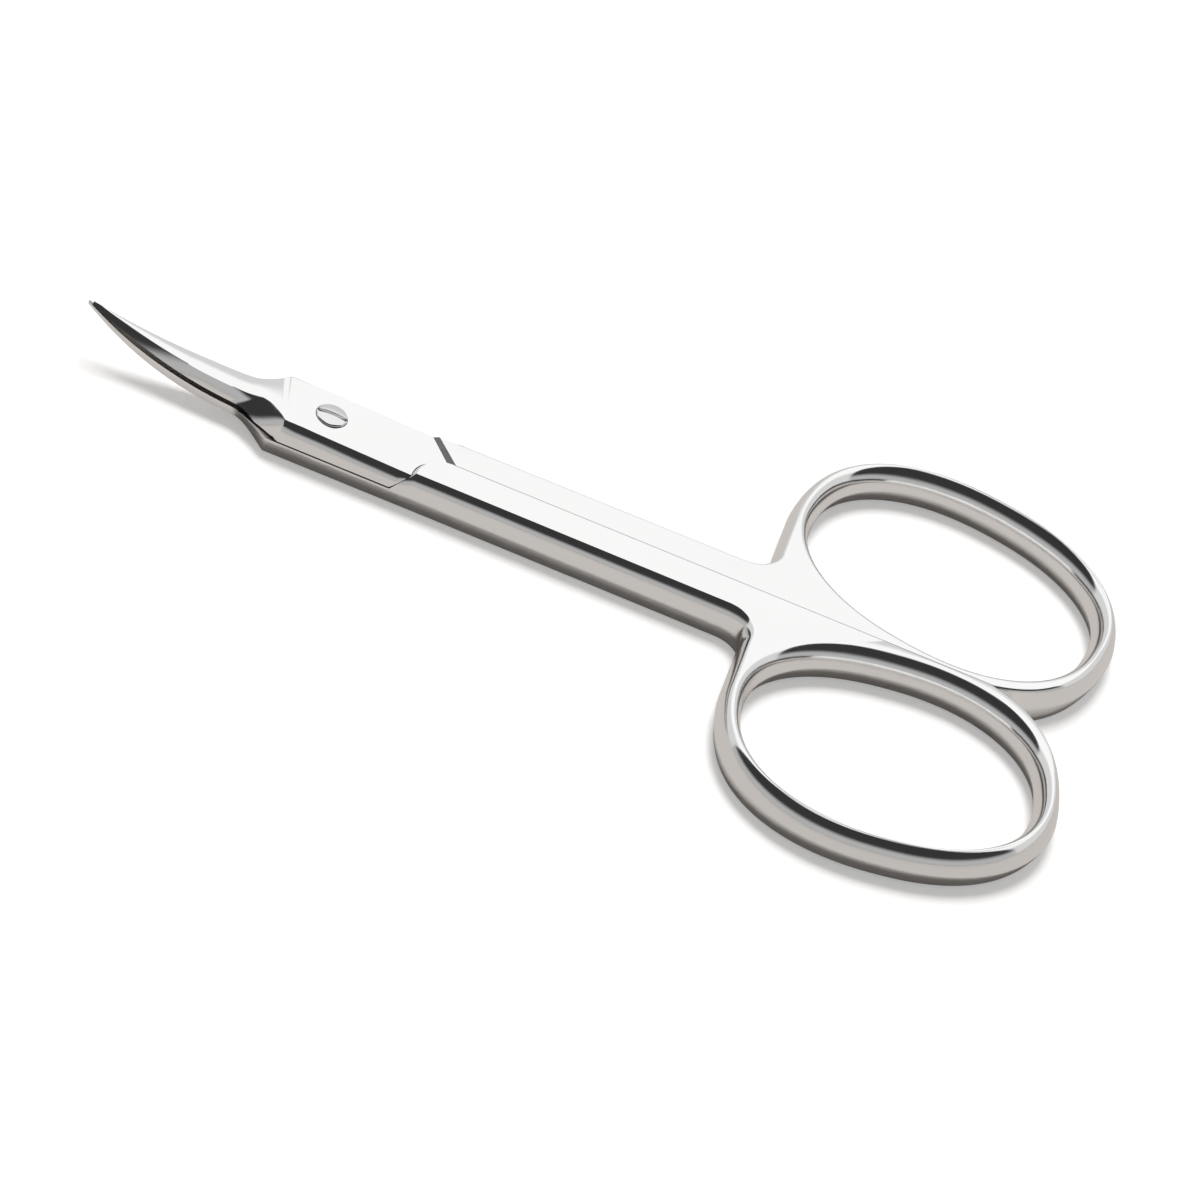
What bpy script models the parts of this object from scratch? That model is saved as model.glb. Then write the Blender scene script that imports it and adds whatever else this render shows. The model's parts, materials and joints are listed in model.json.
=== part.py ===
"""Curved manicure scissors: two forged halves in a half-lap joint, and the slotted screw that they turn on.

Metres, +Z up. The finger rings lie towards +X, and the closed scissors rest on z = 0 with the origin
under their middle. Each half is modelled about the pivot axis and its own mid-plane: own ring on +Y,
joint plate and blade above z = 0. The lower half is the same design turned half a turn about X.
"""

import math

import bmesh
import bpy
from mathutils import Matrix, Vector

# Overall sizes
THICKNESS = 0.004
UPPER_TIP_REACH = 0.0221
LOWER_TIP_REACH = 0.0225

# Clearances
LAP_GAP = 0.0001
SEAM_GAP = 0.0001
SHOULDER_GAP = 0.00015
PIVOT_CLEARANCE = 0.00005
OVERRUN = 0.002

# Joint plate and shank. Widths run from the seam to the widest part of the bulged outer side.
PLATE_HALF_WIDTH = 0.0032
PLATE_NEAR_END = 0.0034
PLATE_FAR_END = 0.0044
FACE_DROP = 0.0004
SHANK_WIDTH_AT_RING = 0.0033
SIDE_BULGE = 0.00035

# Shoulder, where the full thickness of a shank starts: a quarter round with an undercut ramp
SHOULDER_START = 0.0085
SHOULDER_RADIUS = 0.0026
RAMP_RUN = 0.0018
RISER_RUN = 0.0027

# Blade
BLADE_CURVE_START = 0.0053
TIP_RISE = 0.0034
RISE_POWER = 2.35
SPINE_HALF_WIDTH = 0.00142
UPPER_EDGE_HALF_WIDTH = 0.00142
LOWER_EDGE_HALF_WIDTH = 0.00136
BLADE_THICKNESS = 0.00158
UPPER_EDGE_HEIGHT_SHARE = 0.8
LOWER_EDGE_HEIGHT_SHARE = 0.45
SCALLOP_LENGTH = 0.0026
TIP_HALF_WIDTH = 0.00012
TIP_THICKNESS = 0.0003
SPINE_LEAN = 0.00014
EDGE_LEAN = 0.0001
EDGE_SETBACK = 0.00012
WIDTH_TAPER_POWER = 1.45
THICKNESS_TAPER_POWER = 2.2
BEVEL_GROWTH_SHARE = 0.25

# Finger ring: a tilted, slightly squared oval hole with a band of even width round it
HOLE_LENGTH = 0.0257
HOLE_WIDTH = 0.0208
HOLE_SQUARENESS = 2.25
HOLE_TILT = math.radians(-11)
RING_CENTRE_X = 0.05395
RING_CENTRE_Y = 0.0121
BAND_WIDTH = 0.0022
BAND_ROUND = 0.00105
FILLET_RADIUS = 0.0015
CREST_START = math.radians(100)

# Screw
HEAD_DIAMETER = 0.00275
HEAD_SEAT_DEPTH = 0.0005
HEAD_RIM_HEIGHT = 0.00014
HEAD_DOME_HEIGHT = 0.00014
STEM_DIAMETER = 0.0018
SLOT_WIDTH = 0.00042
SLOT_DEPTH = 0.00035

# How a side curves between mid-height and its inset top: as a quarter oval, or as a flat bulge
ROUND = 0.5
BULGED = 1

# How finely round shapes are divided
LEVELS = 4
HOLE_POINTS = 56
RING_POINTS = 52
FILLET_POINTS = 6
SHANK_POINTS = 5
SCALLOP_SECTIONS = 7
BLADE_SECTIONS = 14
CURVE_POINTS = 20
SHOULDER_POINTS = 10
TURN_STEPS = 48

# Places worked out from the sizes above
MID = THICKNESS / 2
APEX = SHOULDER_START + SHOULDER_RADIUS
RING_END = RING_CENTRE_X + HOLE_LENGTH / 2 + BAND_WIDTH
FACE_SLOPE = FACE_DROP / (SHOULDER_START + PLATE_NEAR_END)
SCREW_FACE = MID - FACE_SLOPE * PLATE_NEAR_END
LEVEL_SHARES = [math.sin(math.pi / 2 * step / LEVELS) for step in range(-LEVELS, LEVELS + 1)]


def clear_scene():
    for old in list(bpy.data.objects):
        bpy.data.objects.remove(old, do_unlink=True)


def collection(name):
    made = bpy.data.collections.new(name)
    bpy.context.scene.collection.children.link(made)
    return made


def steel(name, colour, roughness):
    """A stainless steel with this colour and polish."""
    material = bpy.data.materials.new(name)
    material.use_nodes = True
    shader = material.node_tree.nodes["Principled BSDF"]
    shader.inputs["Base Color"].default_value = (*colour, 1)
    shader.inputs["Metallic"].default_value = 1
    shader.inputs["Roughness"].default_value = roughness
    material.diffuse_color = (*colour, 1)
    return material


def smoothstep(share):
    share = min(1, max(0, share))
    return share * share * (3 - 2 * share)


def mix(start, end, share):
    return start + (end - start) * share


def add_mesh(name, mesh, home):
    made = bpy.data.objects.new(name, mesh)
    home.objects.link(made)
    return made


def as_cutter(piece):
    piece.hide_render = True
    piece.display_type = "WIRE"
    return piece


def prism(name, points, low, high):
    """A flat outline made solid between two heights, as a welded mesh."""
    curve = bpy.data.curves.new(name, "CURVE")
    curve.dimensions = "2D"
    curve.fill_mode = "BOTH"
    curve.extrude = (high - low) / 2
    spline = curve.splines.new("POLY")
    spline.points.add(len(points) - 1)
    for place, (x, y) in zip(spline.points, points):
        place.co = (x, y, 0, 1)
    spline.use_cyclic_u = True
    outline = bpy.data.objects.new(name, curve)
    cutters.objects.link(outline)
    graph = bpy.context.evaluated_depsgraph_get()
    mesh = bpy.data.meshes.new_from_object(outline.evaluated_get(graph))
    bpy.data.objects.remove(outline, do_unlink=True)
    welded = bmesh.new()
    welded.from_mesh(mesh)
    bmesh.ops.remove_doubles(welded, verts=welded.verts, dist=LAP_GAP / 100)
    bmesh.ops.translate(welded, verts=welded.verts, vec=(0, 0, (low + high) / 2))
    bmesh.ops.recalc_face_normals(welded, faces=welded.faces)
    welded.to_mesh(mesh)
    welded.free()
    return as_cutter(add_mesh(name, mesh, cutters))


def cut(piece, cutter):
    modifier = piece.modifiers.new(cutter.name, "BOOLEAN")
    modifier.operation = "DIFFERENCE"
    modifier.object = cutter


def mating_height(x, turn):
    """Height of the face where the blades meet: flat at the joint, then an arc that rises to the tip."""
    past = max(0, -BLADE_CURVE_START - x)
    return turn * TIP_RISE * (past / (UPPER_TIP_REACH - BLADE_CURVE_START)) ** RISE_POWER


def hole_point(angle):
    """A point of the finger hole's edge and the direction that faces away from the hole there."""
    power = 2 / HOLE_SQUARENESS
    across = math.copysign(abs(math.cos(angle)) ** power, math.cos(angle))
    along = math.copysign(abs(math.sin(angle)) ** power, math.sin(angle))
    point = Vector((HOLE_LENGTH / 2 * across, HOLE_WIDTH / 2 * along))
    slope = Vector(
        (
            abs(across) ** (HOLE_SQUARENESS - 1) / (HOLE_LENGTH / 2) * math.copysign(1, across),
            abs(along) ** (HOLE_SQUARENESS - 1) / (HOLE_WIDTH / 2) * math.copysign(1, along),
        )
    )
    turned = Matrix.Rotation(HOLE_TILT, 2)
    centre = Vector((RING_CENTRE_X, RING_CENTRE_Y))
    return centre + turned @ point, turned @ slope.normalized()


def ring_point(angle):
    point, away = hole_point(angle)
    return point + away * BAND_WIDTH


def web_angle():
    """Angle on the ring where its outer side points straight back along the shank."""
    steps = 2 * RING_POINTS
    angles = [math.pi * (1 + step / steps) for step in range(-steps // 2, steps // 2)]
    return min(angles, key=lambda angle: ring_point(angle).x)


def half_outline():
    """The blank's outline from the plate's near corner round to its far corner, as (x, y, top inset, roundness)."""
    outline = []
    for step in range(SHANK_POINTS):
        x = mix(-PLATE_NEAR_END, APEX + OVERRUN, step / (SHANK_POINTS - 1))
        outline.append((x, -PLATE_HALF_WIDTH, SIDE_BULGE, BULGED))
    outline.append((APEX + OVERRUN, -OVERRUN, 0, BULGED))
    outline.append((RING_CENTRE_X - BAND_WIDTH, -OVERRUN, 0, BULGED))
    last_angle = web_angle()
    for step in range(RING_POINTS + 1):
        angle = mix(-math.pi / 2, last_angle, step / RING_POINTS)
        x, y = ring_point(angle)
        flat = smoothstep((angle - CREST_START) / (last_angle - CREST_START))
        outline.append((x, y, mix(BAND_ROUND, SIDE_BULGE, flat), mix(ROUND, BULGED, flat)))
    centre_x = ring_point(last_angle).x - FILLET_RADIUS
    for step in range(FILLET_POINTS + 1):
        angle = -math.pi / 2 * step / FILLET_POINTS
        x = centre_x + FILLET_RADIUS * math.cos(angle)
        y = SHANK_WIDTH_AT_RING + FILLET_RADIUS * (1 + math.sin(angle))
        outline.append((x, y, SIDE_BULGE, BULGED))
    outline.append((APEX, PLATE_HALF_WIDTH, SIDE_BULGE, BULGED))
    for step in range(SHANK_POINTS):
        x = mix(SHOULDER_START, -PLATE_FAR_END, step / (SHANK_POINTS - 1))
        outline.append((x, PLATE_HALF_WIDTH, SIDE_BULGE, BULGED))
    return outline


def side_columns(mesh, outline, closed):
    """Vertical rows of points that give an outline its bulged or rounded side. The inset at the top
    and bottom runs to the left of the outline's direction."""
    columns = []
    for index, (x, y, inset, roundness) in enumerate(outline):
        if closed:
            before = outline[index - 1]
            after = outline[(index + 1) % len(outline)]
        else:
            before = outline[max(0, index - 1)]
            after = outline[min(len(outline) - 1, index + 1)]
        along = Vector((after[0] - before[0], after[1] - before[1])).normalized()
        inward = Vector((-along.y, along.x))
        column = []
        for level in LEVEL_SHARES:
            move = inward * inset * (1 - max(0, 1 - level * level) ** roundness)
            column.append(mesh.verts.new((x + move.x, y + move.y, MID * level)))
        columns.append(column)
    return columns


def join_columns(mesh, columns, closed):
    """Faces between neighbouring columns."""
    last = len(columns) if closed else len(columns) - 1
    for index in range(last):
        one = columns[index]
        two = columns[(index + 1) % len(columns)]
        for low in range(len(one) - 1):
            mesh.faces.new((one[low], two[low], two[low + 1], one[low + 1]))


def blade_section(mesh, share, reach, turn):
    """The two columns of points, near side and far side, of one cross-section of the blade."""
    scallop_share = SCALLOP_LENGTH / (reach - PLATE_NEAR_END)
    edge_width = UPPER_EDGE_HALF_WIDTH if turn > 0 else LOWER_EDGE_HALF_WIDTH
    edge_share = UPPER_EDGE_HEIGHT_SHARE if turn > 0 else LOWER_EDGE_HEIGHT_SHARE
    along = max(0, (share - scallop_share) / (1 - scallop_share))
    left = max(0, 1 - share / scallop_share)
    widening = 1 - math.sqrt(1 - left * left)
    narrow = 1 - along**WIDTH_TAPER_POWER
    thickness = mix(mix(BLADE_THICKNESS, MID, left), TIP_THICKNESS, along**THICKNESS_TAPER_POWER)
    blade = smoothstep(share / BEVEL_GROWTH_SHARE)
    columns = []
    for side, end, width, lean, height_share, back in (
        (-1, PLATE_NEAR_END, SPINE_HALF_WIDTH, SPINE_LEAN, 1, 0),
        (1, PLATE_FAR_END, edge_width, EDGE_LEAN, mix(edge_share, 1, along), EDGE_SETBACK),
    ):
        half_width = mix(mix(TIP_HALF_WIDTH, width, narrow), PLATE_HALF_WIDTH, widening)
        inset = mix(SIDE_BULGE, lean * narrow, blade)
        height = thickness * mix(1, height_share, blade)
        x = mix(-end, -reach, share)
        middle = mating_height(x, turn)
        column = []
        for level in LEVEL_SHARES:
            y = side * (half_width - back * blade * narrow - inset * level * level)
            column.append(mesh.verts.new((x, y, middle + height * level)))
        columns.append(column)
    return columns


def blade_sections(mesh, near_corner, far_corner, reach, turn):
    """The blade as a loft from the plate's two end columns to the tip."""
    scallop_share = SCALLOP_LENGTH / (reach - PLATE_NEAR_END)
    shares = []
    for step in range(1, SCALLOP_SECTIONS + 1):
        shares.append(scallop_share * (1 - math.cos(math.pi / 2 * step / SCALLOP_SECTIONS)))
    for step in range(1, BLADE_SECTIONS + 1):
        shares.append(mix(scallop_share, 1, step / BLADE_SECTIONS))
    near = near_corner
    far = far_corner
    for share in shares:
        next_near, next_far = blade_section(mesh, share, reach, turn)
        join_columns(mesh, [next_near, near], False)
        join_columns(mesh, [far, next_far], False)
        mesh.faces.new((near[-1], far[-1], next_far[-1], next_near[-1]))
        mesh.faces.new((far[0], near[0], next_near[0], next_far[0]))
        near = next_near
        far = next_far
    join_columns(mesh, [far, near], False)


def half_blank(name, reach, turn, home):
    """The forged blank: ring, shank, full-thickness joint and blade in one closed body."""
    mesh = bmesh.new()
    outline = half_outline()
    outer = side_columns(mesh, outline, False)
    join_columns(mesh, outer, False)
    hole = []
    for step in range(HOLE_POINTS):
        point, _ = hole_point(-math.tau * step / HOLE_POINTS)
        hole.append((point.x, point.y, BAND_ROUND, ROUND))
    inner = side_columns(mesh, hole, True)
    join_columns(mesh, inner, True)
    for level in (0, -1):
        rim = [column[level] for column in outer]
        loops = [rim, [column[level] for column in inner]]
        edges = []
        for loop in loops:
            for one, two in zip(loop, loop[1:] + loop[:1]):
                edges.append(mesh.edges.get((one, two)) or mesh.edges.new((one, two)))
        bmesh.ops.triangle_fill(mesh, use_beauty=True, edges=edges)
    blade_sections(mesh, outer[0], outer[-1], reach, turn)
    bmesh.ops.recalc_face_normals(mesh, faces=mesh.faces)
    data = bpy.data.meshes.new(name)
    mesh.to_mesh(data)
    mesh.free()
    return add_mesh(name, data, home)


def shear(piece, run):
    """Leans a cutter along X, by the run for each half thickness of height, standing still at z = 0."""
    for vertex in piece.data.vertices:
        vertex.co.x += run * vertex.co.z / MID


def mating_cutter(name, turn):
    """Removes what lies below the face where the two blades meet."""
    start = -LOWER_TIP_REACH - OVERRUN
    floor = -THICKNESS - TIP_RISE - OVERRUN
    points = [(start, floor)]
    for step in range(CURVE_POINTS + 1):
        x = mix(start, -BLADE_CURVE_START, step / CURVE_POINTS)
        points.append((x, mating_height(x, turn) + LAP_GAP / 2))
    points.append((SHOULDER_START - RAMP_RUN - OVERRUN / 2, LAP_GAP / 2))
    points.append((SHOULDER_START - RAMP_RUN - OVERRUN / 2, floor))
    made = prism(name, points, -OVERRUN - PLATE_HALF_WIDTH, OVERRUN + PLATE_HALF_WIDTH)
    made.data.transform(Matrix.Rotation(math.pi / 2, 4, "X"))
    return made


def shoulder_arc(side, radius, limit):
    """The quarter round at the end of a full-thickness shank, seen from above."""
    points = []
    for step in range(SHOULDER_POINTS + 1):
        angle = math.pi / 2 * step / SHOULDER_POINTS
        x = APEX - radius * math.cos(angle)
        y = -SHOULDER_RADIUS + radius * math.sin(angle)
        points.append((x, side * min(y, limit)))
    return points


def lap_cutter(name):
    """Removes the lower half of the thickness up to the half's own rounded shoulder and its ramp."""
    wide = PLATE_HALF_WIDTH + OVERRUN
    start = SHOULDER_START - RAMP_RUN - OVERRUN
    points = [(start, wide), (start, -wide), (APEX + 2 * OVERRUN, -wide), (APEX + 2 * OVERRUN, 0)]
    points += reversed(shoulder_arc(-1, SHOULDER_RADIUS, 0))
    points.append((SHOULDER_START, wide))
    made = prism(name, points, -MID - OVERRUN, LAP_GAP / 2)
    shear(made, -RAMP_RUN)
    for vertex in made.data.vertices:
        vertex.co.x -= RAMP_RUN
    return made


def sweep_cutter(name):
    """Clears the shoulder where the corner of the other half's plate swings past it."""
    corner = SHOULDER_START - SHOULDER_GAP
    deep = math.hypot(corner - RAMP_RUN, PLATE_HALF_WIDTH) + LAP_GAP
    outer = math.hypot(corner, PLATE_HALF_WIDTH) + LAP_GAP
    low = -MID - OVERRUN
    spread = (outer - deep) / MID
    return round_cutter(name, deep - spread * low, low, LAP_GAP / 2, deep)


def end_cutter(name):
    """Trims the plate's end so that it clears the other half's rounded shoulder."""
    wide = PLATE_HALF_WIDTH + OVERRUN
    points = [(SHOULDER_START - SHOULDER_GAP, -wide)]
    points += shoulder_arc(1, SHOULDER_RADIUS + SHOULDER_GAP, SEAM_GAP / 2)
    points += [(APEX + 3 * OVERRUN, SEAM_GAP / 2), (APEX + 3 * OVERRUN, -wide)]
    made = prism(name, points, -LAP_GAP, MID + OVERRUN)
    shear(made, RAMP_RUN)
    for vertex in made.data.vertices:
        vertex.co.x -= RAMP_RUN
    return made


def face_cutter(name):
    """Lowers the plate's top face in a slope that ends at a slanted riser in front of the shank."""
    wide = PLATE_HALF_WIDTH + OVERRUN
    slant = RISER_RUN / PLATE_HALF_WIDTH
    start = -PLATE_NEAR_END
    points = [
        (start, wide),
        (start, -wide),
        (APEX, -wide),
        (APEX, 0),
        (APEX - slant * wide, wide),
    ]
    made = prism(name, points, MID, MID + OVERRUN)
    for vertex in made.data.vertices:
        vertex.co.z -= FACE_SLOPE * (vertex.co.x + PLATE_NEAR_END)
    return made


def seam_cutter(name):
    """Flattens the inner side of the shank and ring where the two halves meet."""
    wide = RING_END - APEX
    points = [(APEX, -wide), (APEX + wide, -wide), (APEX + wide, SEAM_GAP / 2), (APEX, SEAM_GAP / 2)]
    return prism(name, points, -MID - OVERRUN, MID + OVERRUN)


def round_cutter(name, radius, low, high, top_radius=None):
    bpy.ops.mesh.primitive_cone_add(
        vertices=2 * TURN_STEPS,
        radius1=radius,
        radius2=radius if top_radius is None else top_radius,
        depth=high - low,
        location=(0, 0, (low + high) / 2),
    )
    made = bpy.context.object
    made.name = name
    for home in list(made.users_collection):
        home.objects.unlink(made)
    cutters.objects.link(made)
    return as_cutter(made)


def pivot_place():
    """Where the pivot axis crosses the mid-plane, with the whole length centred on the origin."""
    reach = max(x for x, y, inset, roundness in half_outline())
    return Vector(((LOWER_TIP_REACH - reach) / 2, 0, MID))


def place(piece, turn_angle, material):
    """Stands a piece by its own origin, which is on the pivot axis."""
    piece.location = pivot_place()
    piece.rotation_euler = (turn_angle, 0, 0)
    piece.data.materials.append(material)
    piece.data.shade_smooth()
    piece.data.set_sharp_from_angle(angle=math.radians(30))


def scissor_half(name, reach, turn, material):
    """One forged half. The turn is 1 for the half whose plate is on top, and -1 for the other."""
    made = half_blank(name, reach, turn, scissors)
    tools = [mating_cutter(name + "_mating_cut", turn)]
    tools.append(lap_cutter(name + "_lap_cut"))
    tools.append(sweep_cutter(name + "_sweep_cut"))
    tools.append(end_cutter(name + "_end_cut"))
    tools.append(face_cutter(name + "_face_cut"))
    tools.append(seam_cutter(name + "_seam_cut"))
    bore = STEM_DIAMETER / 2 + PIVOT_CLEARANCE
    tools.append(round_cutter(name + "_bore_cut", bore, -THICKNESS, THICKNESS))
    if turn > 0:
        seat = HEAD_DIAMETER / 2 + PIVOT_CLEARANCE
        low = SCREW_FACE - HEAD_SEAT_DEPTH - PIVOT_CLEARANCE
        tools.append(round_cutter(name + "_seat_cut", seat, low, THICKNESS))
    angle = 0 if turn > 0 else math.pi
    for tool in tools:
        tool.rotation_euler = (angle, 0, 0)
        tool.location.z *= turn
        tool.location += pivot_place()
        cut(made, tool)
    place(made, angle, material)
    return made


def pivot_screw(material):
    """The turned screw: domed head, plain stem and a slot along the scissors."""
    rim = SCREW_FACE + HEAD_RIM_HEIGHT
    head = HEAD_DIAMETER / 2
    stem = STEM_DIAMETER / 2
    profile = []
    for step in range(LEVELS + 1):
        out = math.sin(math.pi / 2 * step / LEVELS)
        profile.append((head * out, rim + HEAD_DOME_HEIGHT * (1 - out * out)))
    profile.append((head, SCREW_FACE - HEAD_SEAT_DEPTH))
    profile += [(stem, SCREW_FACE - HEAD_SEAT_DEPTH), (stem, -SCREW_FACE), (0, -SCREW_FACE)]
    data = bpy.data.meshes.new("pivot_screw")
    points = [(x, 0, z) for x, z in profile]
    data.from_pydata(points, [(step, step + 1) for step in range(len(points) - 1)], [])
    made = add_mesh("pivot_screw", data, scissors)
    turned = made.modifiers.new("Turned", "SCREW")
    turned.steps = TURN_STEPS
    turned.render_steps = TURN_STEPS
    turned.use_merge_vertices = True
    turned.merge_threshold = LAP_GAP / 10
    slot_low = rim + HEAD_DOME_HEIGHT - SLOT_DEPTH
    half_slot = SLOT_WIDTH / 2
    outline = [(-head * 2, -half_slot), (head * 2, -half_slot), (head * 2, half_slot), (-head * 2, half_slot)]
    slot = prism("screw_slot_cut", outline, slot_low, slot_low + OVERRUN)
    slot.location = pivot_place()
    cut(made, slot)
    place(made, 0, material)
    return made


clear_scene()
scissors = collection("manicure_scissors")
cutters = collection("cutters")
scissor_half("upper_half", UPPER_TIP_REACH, 1, steel("upper_steel", (0.78, 0.79, 0.80), 0.16))
scissor_half("lower_half", LOWER_TIP_REACH, -1, steel("lower_steel", (0.76, 0.77, 0.78), 0.18))
pivot_screw(steel("screw_steel", (0.72, 0.73, 0.74), 0.25))
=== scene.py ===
# %% [markdown]
# # Manicure scissors: the finished look
#
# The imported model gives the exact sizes, the pivot axis and the two bodies that turn on it. This
# script puts smooth, polished pieces in the same places, lights them as a small product is lit in a
# studio, and aims the camera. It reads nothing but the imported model.

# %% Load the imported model
import json
import math

import bmesh
import bpy
from mathutils import Matrix, Vector


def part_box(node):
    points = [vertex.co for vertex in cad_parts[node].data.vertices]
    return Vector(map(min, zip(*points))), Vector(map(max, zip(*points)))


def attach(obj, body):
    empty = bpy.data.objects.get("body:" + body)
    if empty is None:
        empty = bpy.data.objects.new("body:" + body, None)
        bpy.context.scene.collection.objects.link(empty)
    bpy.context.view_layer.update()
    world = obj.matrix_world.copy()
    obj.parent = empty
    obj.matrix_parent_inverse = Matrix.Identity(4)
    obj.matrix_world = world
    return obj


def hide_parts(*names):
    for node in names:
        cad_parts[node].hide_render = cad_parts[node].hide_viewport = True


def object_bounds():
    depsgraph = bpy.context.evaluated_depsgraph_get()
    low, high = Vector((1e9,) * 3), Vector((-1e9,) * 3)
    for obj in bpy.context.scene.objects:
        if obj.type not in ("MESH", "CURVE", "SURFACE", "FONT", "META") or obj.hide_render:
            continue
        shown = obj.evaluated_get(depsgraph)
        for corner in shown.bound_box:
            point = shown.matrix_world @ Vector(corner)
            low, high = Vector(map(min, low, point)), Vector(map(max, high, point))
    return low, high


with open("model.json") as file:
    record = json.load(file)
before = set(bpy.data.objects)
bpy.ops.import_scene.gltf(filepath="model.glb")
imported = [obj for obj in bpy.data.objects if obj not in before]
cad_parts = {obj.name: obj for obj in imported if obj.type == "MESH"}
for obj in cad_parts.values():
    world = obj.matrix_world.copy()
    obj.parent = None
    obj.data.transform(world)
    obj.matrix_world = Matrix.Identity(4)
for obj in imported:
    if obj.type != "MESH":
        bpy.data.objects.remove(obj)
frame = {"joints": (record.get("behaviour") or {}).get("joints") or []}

# %% [markdown]
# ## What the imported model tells
#
# The hinge's position is the one place that everything else is measured from: it lies on the pivot
# axis, at half the thickness of the scissors.

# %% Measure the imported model
cad_low, cad_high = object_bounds()
PIVOT = Vector(frame["joints"][0]["pos_m"])
MID = PIVOT.z
TIP_REACH = {
    "upper": PIVOT.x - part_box("upper_half")[0].x,
    "lower": PIVOT.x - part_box("lower_half")[0].x,
}
RING_REACH = cad_high.x - PIVOT.x
print(f"pivot at {PIVOT.x * 1000:.2f} mm, half thickness {MID * 1000:.2f} mm")

# %% [markdown]
# ## Sizes of a forged half
#
# Both halves come from the same forging die and are ground to a half-lap joint, so one set of
# sizes serves both. Each half is built about the pivot axis and its own mid-plane, with its ring
# on +Y and its plate and blade above z = 0, and the lower one is then turned half a turn about X.
# Outlines and grinding solids run on a little past the steel that they shape, by the overrun, so
# that no two faces fall together.

# %% Sizes of the plate and the shank
PLATE_HALF_WIDTH = 0.00362
PLATE_NEAR_END = 0.0034
PLATE_FAR_END = 0.0044
FACE_DROP = 0.0004
SHANK_WIDTH_AT_RING = 0.00375
SHOULDER_START = 0.0085
SHOULDER_RADIUS = 0.0026
OVERRUN = 0.002
APEX = SHOULDER_START + SHOULDER_RADIUS
FACE_SLOPE = FACE_DROP / (SHOULDER_START + PLATE_NEAR_END)
PLATE_TOP = MID - FACE_SLOPE * PLATE_NEAR_END
print(f"plate face at the screw: {PLATE_TOP * 1000:.2f} mm above the mid-plane")

# %% Sizes of the finger ring
HOLE_LENGTH = 0.0257
HOLE_WIDTH = 0.0208
HOLE_SQUARENESS = 2.25
HOLE_TILT = math.radians(-11)
RING_CENTRE = Vector((0.05395, 0.0121))
BAND_WIDTH = 0.00219
FILLET_RADIUS = 0.0021
SEAM_ROLL_START = math.radians(-55)
SEAM_ROLL_END = math.radians(5)
CREST_START = math.radians(100)
print(f"finger hole: {HOLE_LENGTH * 1000:.1f} x {HOLE_WIDTH * 1000:.1f} mm")

# %% [markdown]
# ## How a side is rounded
#
# The outline of a half is the same at every height except near the top and bottom, where the side
# rolls in. A quarter of an oval describes that roll. On the finger ring the quarter is complete,
# so the band looks like a soft oval bar. On the shank and the plate it stops just short, which
# leaves the crisp line where the flat face was ground. The side also leans in from the middle, as
# a forging has to if it is to leave the die, and that makes the faint line half way up the side.
# The part of a side that faces up is called its top here, and the part that faces the table its
# table side. The edge is the small round where the side meets a flat face.

# %% Describe the roll of a side
def quarter(inward, downward, used, lean, lean_start=0.0):
    """A quarter oval: its reach in and down, the share that is used, and the lean from a height."""
    return inward, downward, used, lean, lean_start


RING_ROLL = {
    "top": quarter(inward=0.00082, downward=0.002, used=1.0, lean=0.176),
    "table": quarter(inward=0.0007, downward=0.002, used=1.0, lean=0.18),
    "edge": (0.00001,),
}
SIDE_ROLL = {
    "top": quarter(inward=0.00119, downward=0.00235, used=0.95, lean=0.02),
    "table": quarter(inward=0.0003, downward=0.0009, used=0.95, lean=0.27, lean_start=0.00018),
    "edge": (0.00008,),
}
PLATE_ROLL = {
    "top": quarter(inward=0.00119, downward=0.00228, used=0.95, lean=0.02),
    "table": SIDE_ROLL["table"],
    "edge": SIDE_ROLL["edge"],
}
SEAM_ROLL = {
    "top": quarter(inward=0.0003, downward=0.0006, used=0.95, lean=0.02),
    "table": quarter(inward=0.0003, downward=0.0006, used=0.95, lean=0.02),
    "edge": (0.00008,),
}
print(f"the ring rolls in by up to {RING_ROLL['top'][0] * 1000:.2f} mm")


# %% Blend rolls, and measure one at a height
def mix(start, end, share):
    return start + (end - start) * share


def smoothstep(share):
    share = min(1, max(0, share))
    return share * share * (3 - 2 * share)


def blend_rolls(first, second, share):
    blended = {}
    for part in first:
        blended[part] = tuple(mix(one, two, share) for one, two in zip(first[part], second[part]))
    return blended


def roll_inset(roll, height, turn):
    """How far a side has moved in at a height above or below the mid-plane."""
    inward, downward, used, lean, lean_start = roll["top"] if height * turn > 0 else roll["table"]
    share = (abs(height) - (MID - used * downward)) / downward
    share = min(used, max(0, share))
    return inward * (1 - math.sqrt(1 - share * share)) + lean * max(0, abs(height) - lean_start)


print(f"shank side moves in by {roll_inset(SIDE_ROLL, MID, 1) * 1000:.2f} mm at the top")

# %% [markdown]
# ## The outline of a half
#
# A slightly squared oval makes the finger hole. Moving each of its points outward by the width of
# the band gives the ring, and the shank is joined to it with a straight web and a fillet. The path
# starts at the near corner of the plate, runs past the seam, round the ring and back along the
# shank.

# %% Draw the finger hole and the ring
RING_POINTS = 200


def hole_point(angle):
    """A point of the hole's edge and the direction that faces away from the hole there."""
    power = 2 / HOLE_SQUARENESS
    across = math.copysign(abs(math.cos(angle)) ** power, math.cos(angle))
    along = math.copysign(abs(math.sin(angle)) ** power, math.sin(angle))
    slope_x = math.copysign(abs(across) ** (HOLE_SQUARENESS - 1) / HOLE_LENGTH, across)
    slope_y = math.copysign(abs(along) ** (HOLE_SQUARENESS - 1) / HOLE_WIDTH, along)
    turned = Matrix.Rotation(HOLE_TILT, 2)
    point = RING_CENTRE + turned @ Vector((HOLE_LENGTH / 2 * across, HOLE_WIDTH / 2 * along))
    return point, turned @ Vector((slope_x, slope_y)).normalized()


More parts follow.
